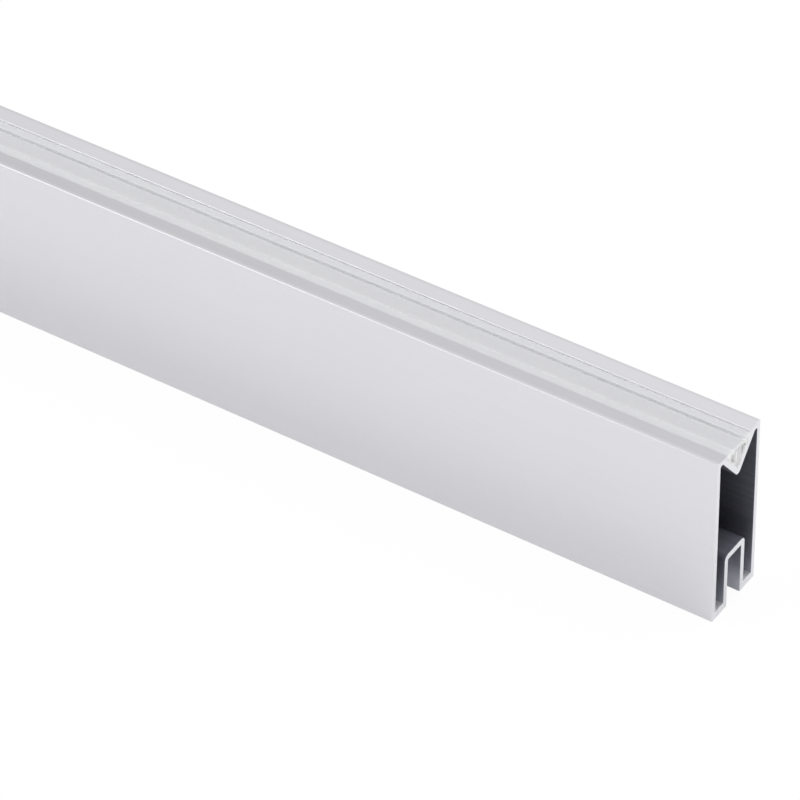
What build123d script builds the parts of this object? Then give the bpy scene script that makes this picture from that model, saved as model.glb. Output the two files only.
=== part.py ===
from build123d import *
from math import cos, radians, tan
import os

# Wardrobe rail, cut from long stock. A tall hollow aluminium section stands on two
# narrow feet, with a plain slot between them and a V groove along its top. A strip of
# translucent plastic, with two lips and a T-shaped core between them, is pressed in.
# The section lies in the YZ plane, centred on Y = 0, with the feet on Z = 0. The rail
# runs along X, centred on X = 0. Sizes are in millimetres and degrees.

# The stock length and the outside of the section
rail_length = 600.0
rail_width = 16.0
rail_height = 41.0
top_edge_radius = 0.2
foot_edge_radius = 0.15

# Walls of the hollow
side_wall = 1.2
land_wall = 1.3
foot_wall = 1.6
hollow_corner_radius = 0.35

# The two lands on top: level by the outer edge, then falling a little to the groove
land_width = 3.65
land_level_width = 0.7
land_fall = 0.2
land_edge_radius = 0.15

# The V groove between the lands: a short step down, then two sloping walls
groove_step = 1.35
groove_slope = 51.0
groove_wall = 1.25
groove_root_radius = 0.6
groove_keel_radius = 1.1

# The slot along the underside, folded up into the hollow as an upside-down U
slot_width = 5.0
slot_depth = 12.5
slot_side_wall = 1.3
slot_roof_wall = 1.6
slot_inside_radius = 0.3
slot_shoulder_radius = 1.4

# The plastic strip: a thin web that lies on both walls of the V, a lip along each top
# edge of the web, and a T-shaped core that stands on the web's root. A narrow slit runs
# between each lip and the top of the T, and opens into a wider pocket below.
strip_side_gap = 0.05
strip_recess = 0.5
strip_keel_radius = 0.8
lip_width = 1.9
lip_face_height = 1.0
lip_depth = 2.1
lip_outer_edge_radius = 0.2
lip_inner_edge_radius = 0.15
web_thickness = 0.4
slit_width = 0.3
pocket_corner_radius = 0.12
core_recess = 0.25
core_flange = 0.95
core_stem_width = 1.9
core_edge_radius = 0.45

# Places that follow from the sizes above
half_width = rail_width / 2
hollow_half_width = half_width - side_wall
hollow_top = rail_height - land_wall
land_inner_edge = half_width - land_width
land_crease = half_width - land_level_width
groove_shoulder = rail_height - groove_step
groove_rise = tan(radians(groove_slope))
groove_root = groove_shoulder - groove_rise * land_inner_edge
groove_underside_root = groove_root - groove_wall / cos(radians(groove_slope))
underside_meets_hollow_top = (hollow_top - groove_underside_root) / groove_rise
slot_half_width = slot_width / 2
slot_outer_half_width = slot_half_width + slot_side_wall
slot_outer_top = slot_depth + slot_roof_wall
strip_half_width = land_inner_edge - strip_side_gap
strip_top = rail_height - strip_recess
strip_side_bottom = groove_root + groove_rise * strip_half_width
web_root = groove_root + web_thickness / cos(radians(groove_slope))
lip_inner_edge = strip_half_width - lip_width
lip_face_bottom = strip_top - lip_face_height
lip_bottom = strip_top - lip_depth
pocket_outer_edge = (lip_bottom - web_root) / groove_rise
core_half_width = lip_inner_edge - slit_width
core_top = strip_top - core_recess
core_flange_bottom = core_top - core_flange
stem_half_width = core_stem_width / 2
stem_foot = web_root + groove_rise * stem_half_width


def symmetric_face(right_half):
    """Face of a closed outline, given as (y, z, corner radius) down its right half.

    The left half is the mirror image of every corner that is off the centre line.
    """
    left_half = [(-y, z, radius) for y, z, radius in reversed(right_half) if y > 0]
    corners = right_half + left_half
    outline = FilletPolyline(
        *[(y, z) for y, z, radius in corners],
        radius=[radius for y, z, radius in corners],
        close=True,
    )
    return Plane.YZ * make_face(outline)


def full_length(section):
    """The section carried along the whole rail, cut square at both ends."""
    return extrude(section, amount=rail_length / 2, both=True)


def rail_section():
    """Outside of the extrusion, with its slot and V groove, less the one hollow."""
    outside = symmetric_face([
        (slot_half_width, slot_depth, slot_inside_radius),
        (slot_half_width, 0, foot_edge_radius),
        (half_width, 0, foot_edge_radius),
        (half_width, rail_height, top_edge_radius),
        (land_crease, rail_height, 0),
        (land_inner_edge, rail_height - land_fall, land_edge_radius),
        (land_inner_edge, groove_shoulder, land_edge_radius),
        (0, groove_root, groove_root_radius),
    ])
    hollow = symmetric_face([
        (slot_outer_half_width, slot_outer_top, slot_shoulder_radius),
        (slot_outer_half_width, foot_wall, hollow_corner_radius),
        (hollow_half_width, foot_wall, hollow_corner_radius),
        (hollow_half_width, hollow_top, hollow_corner_radius),
        (underside_meets_hollow_top, hollow_top, hollow_corner_radius),
        (0, groove_underside_root, groove_keel_radius),
    ])
    return outside - hollow


def strip_section():
    """Thin web on both walls of the V, with its two lips and the T-shaped core."""
    return symmetric_face([
        (0, groove_root, strip_keel_radius),
        (strip_half_width, strip_side_bottom, 0),
        (strip_half_width, strip_top, lip_outer_edge_radius),
        (lip_inner_edge, strip_top, lip_inner_edge_radius),
        (lip_inner_edge, lip_face_bottom, pocket_corner_radius),
        (pocket_outer_edge, lip_bottom, pocket_corner_radius),
        (stem_half_width, stem_foot, pocket_corner_radius),
        (stem_half_width, core_flange_bottom, pocket_corner_radius),
        (core_half_width, core_flange_bottom, pocket_corner_radius),
        (core_half_width, core_top, core_edge_radius),
    ])


os.makedirs("parts", exist_ok=True)
export_step(full_length(rail_section()), "parts/rail_profile.step")
export_step(full_length(strip_section()), "parts/groove_strip.step")
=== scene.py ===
import math

import bpy
import numpy as np
from mathutils import Matrix, Vector
from mathutils.geometry import tessellate_polygon


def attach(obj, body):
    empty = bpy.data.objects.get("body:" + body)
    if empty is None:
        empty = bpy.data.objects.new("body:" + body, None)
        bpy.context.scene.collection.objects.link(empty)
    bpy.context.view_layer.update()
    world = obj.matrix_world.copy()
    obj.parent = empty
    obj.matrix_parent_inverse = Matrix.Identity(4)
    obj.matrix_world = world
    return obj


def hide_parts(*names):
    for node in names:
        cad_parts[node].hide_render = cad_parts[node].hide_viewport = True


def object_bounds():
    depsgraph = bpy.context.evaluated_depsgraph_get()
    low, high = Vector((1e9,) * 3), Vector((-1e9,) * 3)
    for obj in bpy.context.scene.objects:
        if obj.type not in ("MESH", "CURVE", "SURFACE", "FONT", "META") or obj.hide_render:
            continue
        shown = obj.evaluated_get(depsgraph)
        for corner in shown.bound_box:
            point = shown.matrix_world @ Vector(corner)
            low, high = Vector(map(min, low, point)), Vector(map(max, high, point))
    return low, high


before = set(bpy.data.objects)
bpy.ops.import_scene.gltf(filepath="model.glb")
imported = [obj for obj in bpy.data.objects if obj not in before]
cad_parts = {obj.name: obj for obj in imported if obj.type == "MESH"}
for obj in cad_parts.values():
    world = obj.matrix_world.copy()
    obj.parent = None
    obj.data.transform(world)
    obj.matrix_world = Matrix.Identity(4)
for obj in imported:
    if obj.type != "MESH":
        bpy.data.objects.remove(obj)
cad_low, cad_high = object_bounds()
scene = bpy.context.scene
scene.view_settings.view_transform = "Standard"

# Camera. It stands before the rail's front side and beyond its near end, and looks down
# along the rail through a long lens, so that the far end runs out of the picture.
view_azimuth = math.radians(34.385)
view_elevation = math.radians(40.828)
view_roll = math.radians(-0.991)
view_distance = 0.97894
focal_length = 225.0
sensor_width = 36.0
aim_short_of_end = 0.06629
aim_before_front = 0.00987
aim_height = 0.0336
aim = Vector((cad_high.x - aim_short_of_end, cad_low.y - aim_before_front, aim_height))
ahead = Vector((
    -math.cos(view_elevation) * math.sin(view_azimuth),
    math.cos(view_elevation) * math.cos(view_azimuth),
    -math.sin(view_elevation),
))
level_right = Vector((math.cos(view_azimuth), math.sin(view_azimuth), 0.0))
level_up = level_right.cross(ahead)
right = math.cos(view_roll) * level_right + math.sin(view_roll) * level_up
up = math.cos(view_roll) * level_up - math.sin(view_roll) * level_right
camera = bpy.data.objects.new("camera", bpy.data.cameras.new("camera"))
camera.data.lens = focal_length
camera.data.sensor_width = sensor_width
camera.matrix_world = (
    Matrix.Translation(aim - view_distance * ahead)
    @ Matrix((right, up, -ahead)).transposed().to_4x4()
)
scene.collection.objects.link(camera)
scene.camera = camera

# Studio. A white floor, shown plain white with a faint shadow, and a plain sky with a
# brighter band half way up. One soft lamp stands before the rail's near end, one high behind
# the rail, and one to the front left draws the bright line along the front top edge.
floor_colour = (0.98, 0.98, 0.98, 1.0)
floor_half_size = 15.0
white_share_seen = 0.94
white_share_mirrored = 0.21
# Each band of the sky: its height, from 0 at the horizon to 1 overhead, and its brightness.
sky_bands = ((0.10, 0.76), (0.54, 0.66), (0.72, 1.11), (0.93, 0.84))
# Each lamp: its name, power, width and place.
lamps = (
    ("near_end_lamp", 1.0, 1.2, Vector((cad_high.x + 0.9, cad_low.y - 0.7, 1.4))),
    ("high_back_lamp", 5.2, 0.8, Vector((cad_high.x + 0.38, cad_high.y + 0.55, 1.5))),
    ("front_left_lamp", 2.6, 0.6, Vector((cad_high.x - 0.76, cad_low.y - 0.85, 0.78))),
)


def new_material(name):
    """A material and its tree of nodes, which holds a Principled shader."""
    material = bpy.data.materials.new(name)
    material.use_nodes = True
    return material, material.node_tree


def wired(tree, node, inputs):
    """The node, with each given input linked where it gets a socket, and otherwise set."""
    for name, value in inputs.items():
        if isinstance(value, bpy.types.NodeSocket):
            tree.links.new(value, node.inputs[name])
        else:
            node.inputs[name].default_value = value
    return node


def added(tree, kind, inputs, **settings):
    """A new node in the tree, with its settings made and its inputs wired."""
    node = tree.nodes.new(kind)
    for setting, value in settings.items():
        setattr(node, setting, value)
    return wired(tree, node, inputs)


def calculated(tree, operation, *values):
    """The result of one Math node on its values, which are sockets or numbers."""
    step = added(tree, "ShaderNodeMath", dict(enumerate(values)), operation=operation)
    return step.outputs[0]


floor_corners = [(-1, -1), (1, -1), (1, 1), (-1, 1)]
floor_mesh = bpy.data.meshes.new("floor")
floor_mesh.from_pydata(
    [(floor_half_size * x, floor_half_size * y, cad_low.z) for x, y in floor_corners],
    [],
    [(0, 1, 2, 3)],
)
floor = bpy.data.objects.new("floor", floor_mesh)
scene.collection.objects.link(floor)
paint, tree = new_material("white_floor")
matt = wired(tree, tree.nodes["Principled BSDF"], {
    "Base Color": floor_colour,
    "Roughness": 0.9,
    "Specular IOR Level": 0.2,
})
ray = added(tree, "ShaderNodeLightPath", {}).outputs
mirrored = calculated(tree, "MAXIMUM", ray["Is Glossy Ray"], ray["Is Transmission Ray"])
mirrored_share = calculated(tree, "MULTIPLY", mirrored, white_share_mirrored)
plain_white = added(tree, "ShaderNodeEmission", {})
floor_mix = added(tree, "ShaderNodeMixShader", {
    "Fac": calculated(
        tree, "MULTIPLY_ADD", ray["Is Camera Ray"], white_share_seen, mirrored_share
    ),
    1: matt.outputs[0],
    2: plain_white.outputs[0],
})
wired(tree, tree.nodes["Material Output"], {"Surface": floor_mix.outputs[0]})
floor_mesh.materials.append(paint)

sky = bpy.data.worlds.new("studio_sky")
sky.use_nodes = True
scene.world = sky
tree = sky.node_tree
direction = added(tree, "ShaderNodeTexCoord", {}).outputs["Generated"]
upward = added(tree, "ShaderNodeSeparateXYZ", {0: direction}).outputs["Z"]
ramp = added(tree, "ShaderNodeValToRGB", {"Fac": upward})
ramp.color_ramp.interpolation = "EASE"
new_stops = len(sky_bands) - len(ramp.color_ramp.elements)
for _ in range(new_stops):
    ramp.color_ramp.elements.new(1.0)
for stop, (band_height, brightness) in zip(ramp.color_ramp.elements, sky_bands):
    stop.position = band_height
    stop.color = (brightness, brightness, brightness, 1.0)
wired(tree, tree.nodes["Background"], {"Color": ramp.outputs["Color"]})

for name, power, width, place in lamps:
    lamp = bpy.data.objects.new(name, bpy.data.lights.new(name, "AREA"))
    lamp.data.energy = power
    lamp.data.size = width
    lamp.location = place
    lamp.rotation_mode = "QUATERNION"
    lamp.rotation_quaternion = (aim - place).to_track_quat("-Z", "Y")
    scene.collection.objects.link(lamp)

# The rail itself. One aluminium extrusion: a tall hollow box with a V groove along its top
# and a slot folded up into it from below, anodised satin silver, then sawn to length, which
# leaves both ends bare metal with the saw's marks and the slightly broken edges of the cut.
mm = 0.001
rail_length = cad_high.x - cad_low.x
half_width = (cad_high.y - cad_low.y) / 2
rail_height = cad_high.z - cad_low.z
foot_edge_radius = 0.15 * mm
top_edge_radius = 0.2 * mm

side_wall = 1.2 * mm
land_wall = 1.3 * mm
foot_wall = 1.6 * mm
hollow_corner_radius = 0.35 * mm

land_width = 3.65 * mm
land_level_width = 0.7 * mm
land_fall = 0.2 * mm
land_crease_radius = 3.0 * mm
land_edge_radius = 0.06 * mm

groove_step = 1.35 * mm
groove_slope = math.radians(51.0)
groove_wall = 1.25 * mm
groove_shoulder_radius = 0.15 * mm
groove_root_radius = 0.6 * mm
groove_keel_radius = 1.1 * mm

slot_half_width = 2.5 * mm
slot_depth = 12.5 * mm
slot_side_wall = 1.3 * mm
slot_roof_wall = 1.6 * mm
slot_inside_radius = 0.3 * mm
slot_shoulder_radius = 1.4 * mm

cut_edge = 0.10 * mm
cut_edge_rows = 4
arc_points = 9
length_rows = 25

hollow_half_width = half_width - side_wall
hollow_top = rail_height - land_wall
land_crease = half_width - land_level_width
land_inner_edge = half_width - land_width
groove_shoulder = rail_height - groove_step
groove_rise = math.tan(groove_slope)
groove_root = groove_shoulder - groove_rise * land_inner_edge
underside_root = groove_root - groove_wall / math.cos(groove_slope)
underside_start = (hollow_top - underside_root) / groove_rise
slot_outer_half_width = slot_half_width + slot_side_wall
slot_outer_top = slot_depth + slot_roof_wall

# Both outlines go round the right half of the section, as (y, z, corner radius).
outside_corners = [
    (slot_half_width, slot_depth, slot_inside_radius),
    (slot_half_width, 0.0, foot_edge_radius),
    (half_width, 0.0, foot_edge_radius),
    (half_width, rail_height, top_edge_radius),
    (land_crease, rail_height, land_crease_radius),
    (land_inner_edge, rail_height - land_fall, land_edge_radius),
    (land_inner_edge, groove_shoulder, groove_shoulder_radius),
    (0.0, groove_root, groove_root_radius),
]
hollow_corners = [
    (slot_outer_half_width, slot_outer_top, slot_shoulder_radius),
    (slot_outer_half_width, foot_wall, hollow_corner_radius),
    (hollow_half_width, foot_wall, hollow_corner_radius),
    (hollow_half_width, hollow_top, hollow_corner_radius),
    (underside_start, hollow_top, hollow_corner_radius),
    (0.0, underside_root, groove_keel_radius),
]


def rounded_outline(right_half):
    """Points and outward normals of a closed, mirror-symmetric outline with round corners.

    Corners are (y, z, radius) round the right half, and the left half mirrors them. At each
    corner the arc starts its tangent length, radius times tan(turn / 2), before the corner.
    Its centre lies one radius to the inner side of the turn, and the point and the normal
    both swing about that centre through the turn, in equal steps.
    """
    left_half = [(-y, z, radius) for y, z, radius in reversed(right_half) if y > 0]
    corners = np.array(right_half + left_half)
    place, radius = corners[:, :2], corners[:, 2:]
    leaving = np.roll(place, -1, axis=0) - place
    leaving /= np.linalg.norm(leaving, axis=1, keepdims=True)
    coming = np.roll(leaving, 1, axis=0)
    cross = coming[:, :1] * leaving[:, 1:] - coming[:, 1:] * leaving[:, :1]
    turn = np.arctan2(cross, (coming * leaving).sum(axis=1, keepdims=True))
    outward = np.stack([coming[:, 1], -coming[:, 0]], axis=1)
    swing = np.sign(turn) * radius
    start = place - coming * radius * np.tan(np.abs(turn) / 2)
    centre = start - swing * outward
    angle = turn * np.linspace(0.0, 1.0, arc_points)
    normal = np.stack([
        outward[:, :1] * np.cos(angle) - outward[:, 1:] * np.sin(angle),
        outward[:, :1] * np.sin(angle) + outward[:, 1:] * np.cos(angle),
    ], axis=2)
    points = centre[:, None, :] + swing[:, :, None] * normal
    return points.reshape(-1, 2), normal.reshape(-1, 2)


def carried_outline(points, normals, facing):
    """An outline carried along the rail, as a grid of points, their normals and its faces.

    Rows run along the length and columns round the outline. Near each end the rows follow a
    quarter circle: the outline shrinks into the material by cut_edge times (1 - cos) while
    it moves on by cut_edge times sin, so that the last row lies in the plane of the cut.
    facing is 1 where the outline's normals leave the material and -1 where they enter it.
    """
    quarter = np.linspace(0.0, math.pi / 2, cut_edge_rows)
    middle = np.linspace(-1.0, 1.0, length_rows) * (rail_length / 2 - cut_edge)
    along = np.concatenate([
        -rail_length / 2 + cut_edge * (1 - np.sin(quarter[:0:-1])),
        middle,
        rail_length / 2 - cut_edge * (1 - np.sin(quarter[1:])),
    ])
    lean = np.concatenate([-quarter[:0:-1], np.zeros(length_rows), quarter[1:]])
    inset = cut_edge * (1 - np.cos(lean))
    out = facing * normals
    rows, columns = len(along), len(points)
    section = points[None, :, :] - inset[:, None, None] * out[None, :, :]
    grid = np.concatenate([
        np.broadcast_to(along[:, None, None], (rows, columns, 1)),
        section,
    ], axis=2)
    normal = np.concatenate([
        np.broadcast_to(np.sin(lean)[:, None, None], (rows, columns, 1)),
        np.cos(lean)[:, None, None] * out[None, :, :],
    ], axis=2)
    row, column = np.meshgrid(np.arange(rows - 1), np.arange(columns), indexing="ij")
    here = row * columns + column
    beside = row * columns + (column + 1) % columns
    quads = np.stack([here, beside, beside + columns, here + columns], axis=2).reshape(-1, 4)
    if facing < 0:
        quads = quads[:, ::-1]
    return grid.reshape(-1, 3), normal.reshape(-1, 3), quads


def cut_stock(name, outside, *hollows):
    """A closed length of stock from the corners of its outside and of any hollows in it.

    Each outline becomes a wall, and each end is the flat area between the walls' last rows.
    Returns the object and, for each face, 0 on the outside, 1 in a hollow and 2 on an end.
    """
    points, normals, faces, zones, ends = [], [], [], [], ([], [])
    first = 0
    for index, corners in enumerate((outside, *hollows)):
        outline, outward = rounded_outline(corners)
        grid, normal, quads = carried_outline(outline, outward, 1 if index == 0 else -1)
        columns = len(outline)
        points.append(grid)
        normals.append(normal)
        faces += (quads + first).tolist()
        zones += [min(index, 1)] * len(quads)
        ends[0].append(np.arange(columns) + first)
        ends[1].append(np.arange(columns) + first + len(grid) - columns)
        first += len(grid)
    points, normals = np.concatenate(points), np.concatenate(normals)
    for end, side in zip(ends, (-1, 1)):
        loops = [[Vector((0.0, points[i, 1], points[i, 2])) for i in loop] for loop in end]
        fill = np.concatenate(end)[np.array(tessellate_polygon(loops))]
        edge_a = points[fill[:, 1]] - points[fill[:, 0]]
        edge_b = points[fill[:, 2]] - points[fill[:, 0]]
        wrong = side * np.cross(edge_a, edge_b)[:, 0] < 0
        fill[wrong] = fill[wrong][:, ::-1]
        faces += fill.tolist()
        zones += [2] * len(fill)
    mesh = bpy.data.meshes.new(name)
    mesh.from_pydata(points.tolist(), [], faces)
    mesh.polygons.foreach_set("use_smooth", [True] * len(faces))
    mesh.normals_split_custom_set_from_vertices(normals.tolist())
    piece = bpy.data.objects.new(name, mesh)
    scene.collection.objects.link(piece)
    return piece, zones


rail, rail_zones = cut_stock("rail_extrusion", outside_corners, hollow_corners)


def new_group(name, *outputs):
    """An empty group of shader nodes that puts out the named values."""
    group = bpy.data.node_groups.new(name, "ShaderNodeTree")
    for output in outputs:
        group.interface.new_socket(output, in_out="OUTPUT", socket_type="NodeSocketFloat")
    return group


# How drawn or extruded stock varies: fine lines along its length and faint wide clouds.
drawn_finish = new_group("drawn_finish", "Lines", "Clouds")
place = added(drawn_finish, "ShaderNodeTexCoord", {}).outputs["Object"]
stretched = added(drawn_finish, "ShaderNodeMapping", {
    "Vector": place,
    "Scale": (14.0, 2600.0, 2600.0),
})
lines = added(drawn_finish, "ShaderNodeTexNoise", {
    "Vector": stretched.outputs[0],
    "Scale": 1.0,
    "Detail": 3.0,
    "Roughness": 0.65,
})
clouds = added(drawn_finish, "ShaderNodeTexNoise", {
    "Vector": place,
    "Scale": 38.0,
    "Detail": 2.0,
})
added(drawn_finish, "NodeGroupOutput", {
    "Lines": lines.outputs["Fac"],
    "Clouds": clouds.outputs["Fac"],
})

# The marks of a circular saw across a cut end: arcs about the blade's centre, which lies
# before and below the rail, unevenly spaced and thinned out by a coarse noise.
blade_centre = (0.0, -0.11, -0.07)
saw_marks = new_group("saw_marks", "Arcs")
place = added(saw_marks, "ShaderNodeTexCoord", {}).outputs["Object"]
on_the_cut = added(
    saw_marks, "ShaderNodeVectorMath", {0: place, 1: (0.0, 1.0, 1.0)}, operation="MULTIPLY"
).outputs[0]
from_blade = added(
    saw_marks, "ShaderNodeVectorMath", {0: on_the_cut, 1: blade_centre}, operation="DISTANCE"
).outputs["Value"]
arcs = added(saw_marks, "ShaderNodeTexNoise", {
    "Vector": added(saw_marks, "ShaderNodeCombineXYZ", {"X": from_blade}).outputs[0],
    "Scale": 3200.0,
    "Detail": 2.5,
    "Roughness": 0.7,
})
patches = added(saw_marks, "ShaderNodeTexNoise", {"Vector": on_the_cut, "Scale": 260.0})
added(saw_marks, "NodeGroupOutput", {
    "Arcs": calculated(saw_marks, "MULTIPLY", arcs.outputs["Fac"], patches.outputs["Fac"]),
})


def placed(tree, group):
    """The outputs of a node group that is placed in a material's tree."""
    return added(tree, "ShaderNodeGroup", {}, node_tree=group).outputs


def object_place(tree):
    """The place of a point on the rail, split into its X, Y and Z."""
    place = added(tree, "ShaderNodeTexCoord", {}).outputs["Object"]
    return added(tree, "ShaderNodeSeparateXYZ", {0: place}).outputs


def spread(tree, value, start, end, low=0.0, high=1.0):
    """A socket that runs from low to high as value runs from start to end."""
    return added(tree, "ShaderNodeMapRange", {
        "Value": value,
        "From Min": start,
        "From Max": end,
        "To Min": low,
        "To Max": high,
    }).outputs["Result"]


noise_span = (0.3, 0.7)


def varied(tree, noise, low, high):
    """A socket that runs from low to high as a noise runs through its usual span."""
    return spread(tree, noise, *noise_span, low, high)


def tinted(tree, factor, under, over):
    """A colour that turns from under to over with the factor. Under may be a socket."""
    mix = added(
        tree, "ShaderNodeMix", {"Factor": factor, "A": under, "B": over}, data_type="RGBA"
    )
    return mix.outputs["Result"]


def grained(tree, height, strength, depth):
    """A normal that follows height as relief of the given depth."""
    return added(tree, "ShaderNodeBump", {
        "Height": height,
        "Strength": strength,
        "Distance": depth,
    }).outputs["Normal"]


# The outside is anodised satin. Little light gets into the slot, so it is darker there, and
# the groove's two short step walls are brighter, from the light that the strip throws back.
satin_dark = (0.697, 0.695, 0.723, 1.0)
satin_light = (0.714, 0.712, 0.738, 1.0)
satin_in_slot = (0.482, 0.488, 0.540, 1.0)
satin_on_step = (0.94, 0.94, 0.96, 1.0)
# The masks reach a little past these places, to take in their rounded corners.
slot_side_margin = 0.05 * mm
slot_roof_margin = 0.2 * mm
step_margin = 0.05 * mm
step_fade = 0.04 * mm

anodised, tree = new_material("satin_anodised")
drawn = placed(tree, drawn_finish)
place = object_place(tree)
off_centre = calculated(tree, "ABSOLUTE", place["Y"])
in_slot = calculated(
    tree,
    "MULTIPLY",
    calculated(tree, "LESS_THAN", off_centre, slot_half_width + slot_side_margin),
    calculated(tree, "LESS_THAN", place["Z"], slot_depth + slot_roof_margin),
)
step_limit = land_inner_edge + step_margin
in_groove = calculated(
    tree,
    "MULTIPLY",
    spread(tree, off_centre, step_limit, step_limit - step_fade),
    calculated(tree, "GREATER_THAN", place["Z"], groove_root),
)
satin = tinted(tree, varied(tree, drawn["Lines"], 0.0, 1.0), satin_dark, satin_light)
satin = tinted(tree, in_slot, satin, satin_in_slot)
satin = tinted(tree, in_groove, satin, satin_on_step)
wired(tree, tree.nodes["Principled BSDF"], {
    "Base Color": satin,
    "Metallic": 1.0,
    "Roughness": varied(tree, drawn["Clouds"], 0.28, 0.32),
    "Normal": grained(tree, drawn["Lines"], strength=0.08, depth=0.01 * mm),
})

# The hollow keeps the rougher finish that the die left, and its colour is painted dark, as
# painted shade for the depth of the hollow.
# Painted light: the walls beside the slot are painted a little lighter than the rest, as if
# they caught a little more light, and the floors of the two chambers much lighter.
# These two colours hold painted shade: they are far darker than the bare metal, as the depth
# of the hollow would make it look, and differ along the die's lines.
mill_finish_and_shade_dark = (0.205, 0.208, 0.248, 1.0)
mill_finish_and_shade_light = (0.270, 0.273, 0.325, 1.0)
mill_beside_slot = (0.46, 0.465, 0.52, 1.0)
mill_on_floor = (0.96, 0.96, 0.98, 1.0)
low_wall_height = 1.0 * mm
floor_fade_start = 0.30 * mm
floor_fade_end = 0.05 * mm

mill, tree = new_material("hollow_mill_finish_and_painted_shade")
drawn = placed(tree, drawn_finish)
height = object_place(tree)["Z"]
low_down = spread(tree, height, slot_outer_top, foot_wall + low_wall_height)
on_floor = spread(tree, height, foot_wall + floor_fade_start, foot_wall + floor_fade_end)
hollow_painted_light_and_shade = tinted(tree, varied(tree, drawn["Lines"], 0.0, 1.0), mill_finish_and_shade_dark, mill_finish_and_shade_light)
hollow_painted_light_and_shade = tinted(tree, low_down, hollow_painted_light_and_shade, mill_beside_slot)
hollow_painted_light_and_shade = tinted(tree, on_floor, hollow_painted_light_and_shade, mill_on_floor)
wired(tree, tree.nodes["Principled BSDF"], {
    "Base Color": hollow_painted_light_and_shade,
    "Metallic": 1.0,
    "Roughness": varied(tree, drawn["Clouds"], 0.50, 0.62),
    "Normal": grained(tree, drawn["Lines"], strength=0.4, depth=0.02 * mm),
})

# Both cuts are bare metal, lighter where the saw's arcs stand up.
sawn_dark = (0.78, 0.78, 0.81, 1.0)
sawn_light = (0.86, 0.86, 0.89, 1.0)
arc_contrast = (-0.2, 1.4)

sawn, tree = new_material("sawn_aluminium")
saw = placed(tree, saw_marks)
arcs = varied(tree, saw["Arcs"], *arc_contrast)
wired(tree, tree.nodes["Principled BSDF"], {
    "Base Color": tinted(tree, arcs, sawn_dark, sawn_light),
    "Metallic": 1.0,
    "Roughness": varied(tree, saw["Arcs"], 0.40, 0.55),
    "Normal": grained(tree, saw["Arcs"], strength=0.35, depth=0.02 * mm),
})

for material in (anodised, mill, sawn):
    rail.data.materials.append(material)
rail.data.polygons.foreach_set("material_index", rail_zones)
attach(rail, "root")
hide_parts("rail_profile")

# The plastic strip. One extrusion of milky translucent plastic: a thin web that lies on both
# walls of the V groove, a lip along each top edge of the web, and a T-shaped core that
# stands on the web's root. A slit runs between each lip and the T, over a wider pocket.
strip_side_gap = 0.05 * mm
strip_recess = 0.5 * mm
strip_keel_radius = 0.8 * mm
web_thickness = 0.4 * mm
web_corner_radius = 0.05 * mm

lip_width = 1.9 * mm
lip_face_height = 1.0 * mm
lip_depth = 2.1 * mm
lip_outer_edge_radius = 0.2 * mm
lip_inner_edge_radius = 0.15 * mm

slit_width = 0.30 * mm
pocket_corner_radius = 0.12 * mm
core_recess = 0.25 * mm
core_flange = 0.95 * mm
core_edge_radius = 0.45 * mm
stem_half_width = 0.95 * mm

strip_half_width = land_inner_edge - strip_side_gap
strip_top = rail_height - strip_recess
web_corner = groove_root + groove_rise * strip_half_width
web_root = groove_root + web_thickness / math.cos(groove_slope)
lip_inner_edge = strip_half_width - lip_width
lip_bottom = strip_top - lip_depth
pocket_outer_edge = (lip_bottom - web_root) / groove_rise
core_half_width = lip_inner_edge - slit_width
core_top = strip_top - core_recess
core_flange_bottom = core_top - core_flange
stem_foot = web_root + groove_rise * stem_half_width

strip_corners = [
    (0.0, groove_root, strip_keel_radius),
    (strip_half_width, web_corner, web_corner_radius),
    (strip_half_width, strip_top, lip_outer_edge_radius),
    (lip_inner_edge, strip_top, lip_inner_edge_radius),
    (lip_inner_edge, strip_top - lip_face_height, pocket_corner_radius),
    (pocket_outer_edge, lip_bottom, pocket_corner_radius),
    (stem_half_width, stem_foot, pocket_corner_radius),
    (stem_half_width, core_flange_bottom, pocket_corner_radius),
    (core_half_width, core_flange_bottom, pocket_corner_radius),
    (core_half_width, core_top, core_edge_radius),
]
strip, strip_zones = cut_stock("plastic_strip", strip_corners)

# Painted light on the strip: the lips are painted lighter than the core, and their outer
# rims and the walls of the slits and pockets lighter still, which lifts the shade in these
# narrow places.
lip_fade_width = 1.3 * mm
slit_fade_depth = 0.30 * mm
rim_fade_start = 0.30 * mm
rim_fade_end = 0.08 * mm
rim_share = 0.95

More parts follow.
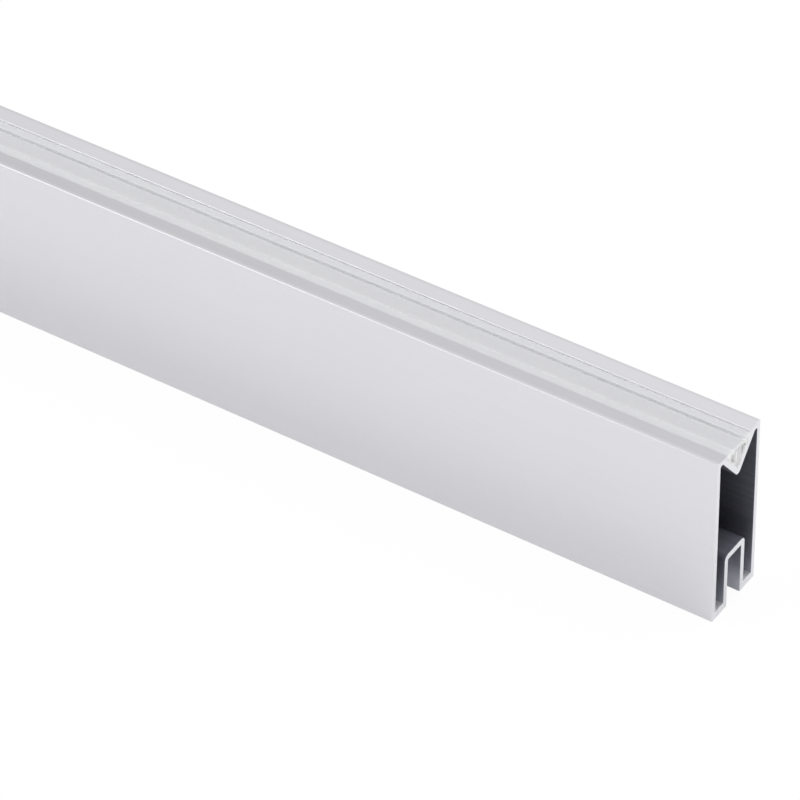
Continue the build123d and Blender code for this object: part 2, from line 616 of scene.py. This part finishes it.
strip_painted_light = new_group("strip_painted_light", "Lips", "Slits")
place = object_place(strip_painted_light)
off_centre = calculated(strip_painted_light, "ABSOLUTE", place["Y"])
lips = spread(strip_painted_light, off_centre, core_half_width, lip_inner_edge + lip_fade_width)
slits = spread(strip_painted_light, place["Z"], core_top, core_top - slit_fade_depth)
rim = spread(
    strip_painted_light,
    off_centre,
    strip_half_width - rim_fade_start,
    strip_half_width - rim_fade_end,
    high=rim_share,
)
added(strip_painted_light, "NodeGroupOutput", {
    "Lips": lips,
    "Slits": calculated(strip_painted_light, "MAXIMUM", slits, rim),
})

# The faces that the die drew are smooth and milky, and the sawn ends are matt.
core_colour = (0.605, 0.607, 0.625, 1.0)
# The lips' and slits' colours here, and the lips' cut colour below, are painted light.
lip_colour_painted_lighter = (0.650, 0.652, 0.668, 1.0)
slit_painted_light = (0.94, 0.94, 0.95, 1.0)
cut_dark = (0.62, 0.62, 0.63, 1.0)
cut_light = (0.68, 0.68, 0.69, 1.0)
cut_lip_painted_lighter = (0.79, 0.79, 0.79, 1.0)
scattering = {
    "Subsurface Weight": 1.0,
    "Subsurface Radius": (1.0, 1.0, 1.0),
    "Subsurface Scale": 1.2 * mm,
}

milky, tree = new_material("milky_plastic")
drawn = placed(tree, drawn_finish)
strip_light_masks = placed(tree, strip_painted_light)
# The lips, their rims and the slits get their painted light here.
milk_and_painted_light = tinted(tree, strip_light_masks["Lips"], core_colour, lip_colour_painted_lighter)
milk_and_painted_light = tinted(tree, strip_light_masks["Slits"], milk_and_painted_light, slit_painted_light)
wired(tree, tree.nodes["Principled BSDF"], {
    "Base Color": milk_and_painted_light,
    "Roughness": varied(tree, drawn["Lines"], 0.34, 0.42),
    "Normal": grained(tree, drawn["Lines"], strength=0.2, depth=0.01 * mm),
    **scattering,
})

cut_plastic, tree = new_material("cut_plastic")
saw = placed(tree, saw_marks)
strip_light_masks = placed(tree, strip_painted_light)
chalk = tinted(tree, varied(tree, saw["Arcs"], *arc_contrast), cut_dark, cut_light)
# The lips' cut faces get their painted light here.
wired(tree, tree.nodes["Principled BSDF"], {
    "Base Color": tinted(tree, strip_light_masks["Lips"], chalk, cut_lip_painted_lighter),
    "Roughness": 0.6,
    "Normal": grained(tree, saw["Arcs"], strength=0.3, depth=0.02 * mm),
    **scattering,
})

# The strip has no hollow, so its zones are 0 on the outside and 2 on its ends.
strip.data.materials.append(milky)
strip.data.materials.append(cut_plastic)
strip.data.polygons.foreach_set("material_index", [zone // 2 for zone in strip_zones])
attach(strip, "root")
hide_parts("groove_strip")
